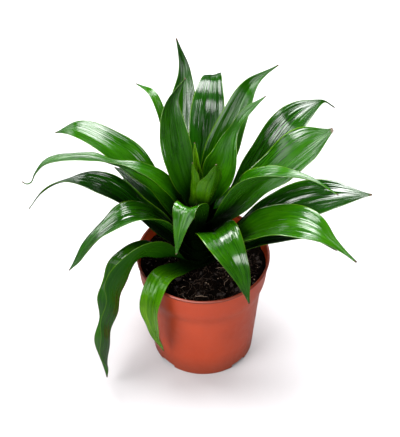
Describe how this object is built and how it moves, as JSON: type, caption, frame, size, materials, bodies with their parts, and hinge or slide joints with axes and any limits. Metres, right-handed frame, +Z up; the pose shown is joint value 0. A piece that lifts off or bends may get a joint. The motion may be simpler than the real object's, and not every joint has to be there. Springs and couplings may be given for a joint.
{
  "type": "potted dracaena",
  "caption": "Leafy houseplant in a round plastic nursery pot: a short cane set in soil carries a rosette of long arching glossy leaves.",
  "frame": {"origin": "centre of the pot's foot, on the ground", "axes": "+Z up, -Y towards the pot's front, +X to the right as seen from the front"},
  "size_m": [0.3, 0.1956, 0.2814],
  "materials": {
    "pot": "satin",
    "soil": "matte",
    "cane": "matte",
    "leaf": "gloss",
    "young_leaf": "satin"
  },
  "bodies": {
    "root": {"pot": "pot", "soil": "soil", "cane": "cane", "leaf_top": "leaf", "leaf_back_left": "leaf", "leaf_back_left_thin": "leaf", "leaf_back": "leaf", "leaf_back_right": "leaf", "leaf_right_upright": "leaf", "leaf_right_upper": "leaf", "leaf_right_broad": "leaf", "leaf_right_curled": "leaf", "leaf_right_level": "leaf", "leaf_right_front": "leaf", "leaf_right_low": "leaf", "leaf_front_right": "leaf", "leaf_front_small": "leaf", "leaf_front_lime": "young_leaf", "leaf_left_upper": "leaf", "leaf_left_tailed": "leaf", "leaf_left_shaded": "leaf", "leaf_left_lower": "leaf", "leaf_left_front": "leaf", "leaf_left_hanging": "leaf", "leaf_back_low_right": "leaf", "leaf_back_low": "leaf", "leaf_back_low_left": "leaf", "leaf_heart_right": "young_leaf", "leaf_heart_left": "young_leaf", "leaf_spear": "young_leaf"}
  },
  "joints": []
}
